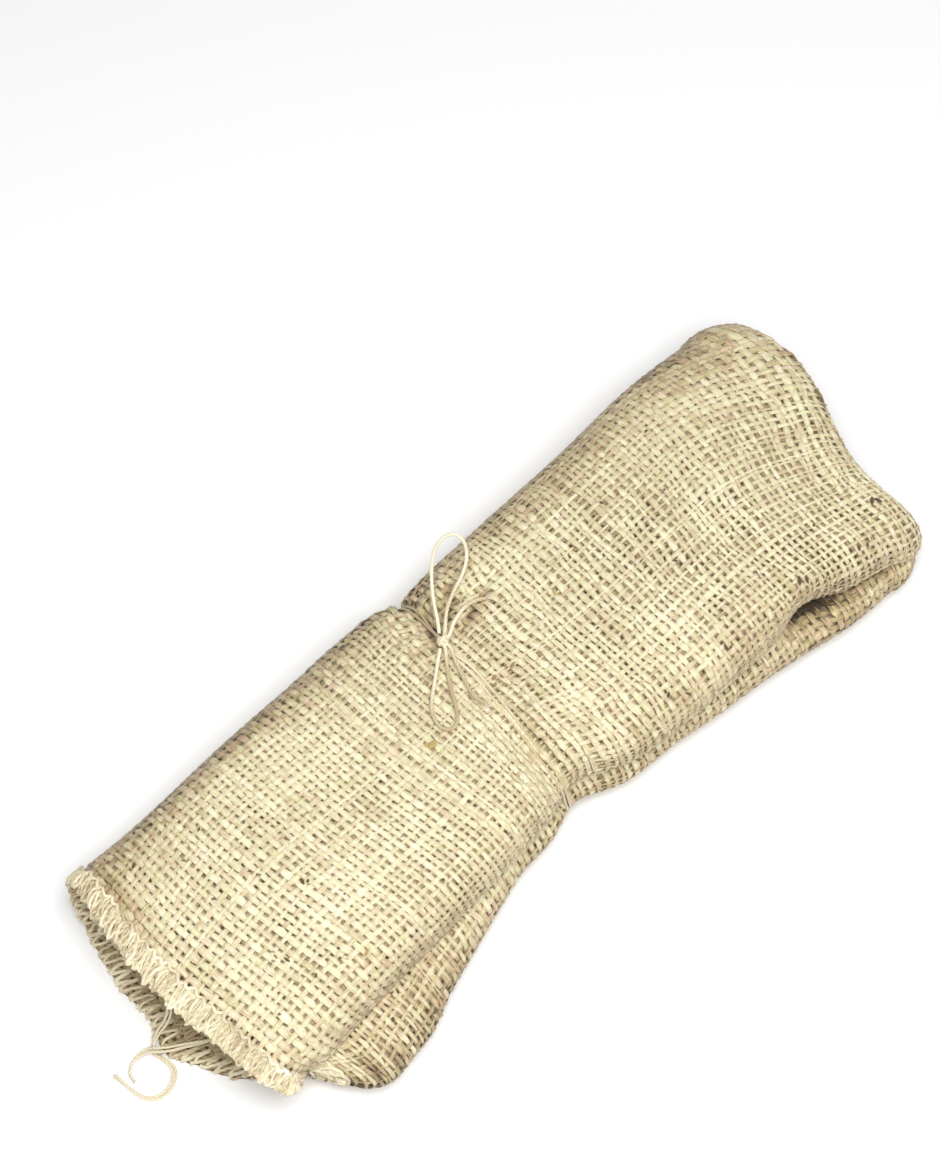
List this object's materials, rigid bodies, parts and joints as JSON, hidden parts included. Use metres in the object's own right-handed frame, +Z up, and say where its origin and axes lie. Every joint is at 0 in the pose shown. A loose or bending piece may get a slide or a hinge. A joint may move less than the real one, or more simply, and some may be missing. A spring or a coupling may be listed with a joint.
{
  "type": "hessian sack, rolled and tied",
  "caption": "Jute hessian sack folded once across its length, rolled up and tied round the middle with thin twine in a bow.",
  "frame": {"origin": "middle of the roll's bounding box, at its flat underside, without the twine's and thread's free ends", "axes": "+X along the roll from its open, overlocked end to its folded end, +Y towards its closed side, +Z up"},
  "size_m": [0.3402, 0.1256, 0.052],
  "materials": {
    "hessian": "coarse plain weave",
    "cotton_twine": "thin twisted twine",
    "sewing_thread": "loose chain of sewing thread"
  },
  "bodies": {
    "root": {"sack": "hessian", "tie_turn_front": "cotton_twine", "tie_turn_back": "cotton_twine", "tie_knot": "cotton_twine", "tie_loop_upper": "cotton_twine", "tie_loop_lower": "cotton_twine", "tie_end_short": "cotton_twine", "tie_end_long": "cotton_twine", "seam_thread_long": "sewing_thread", "seam_thread_short": "sewing_thread"}
  },
  "joints": []
}
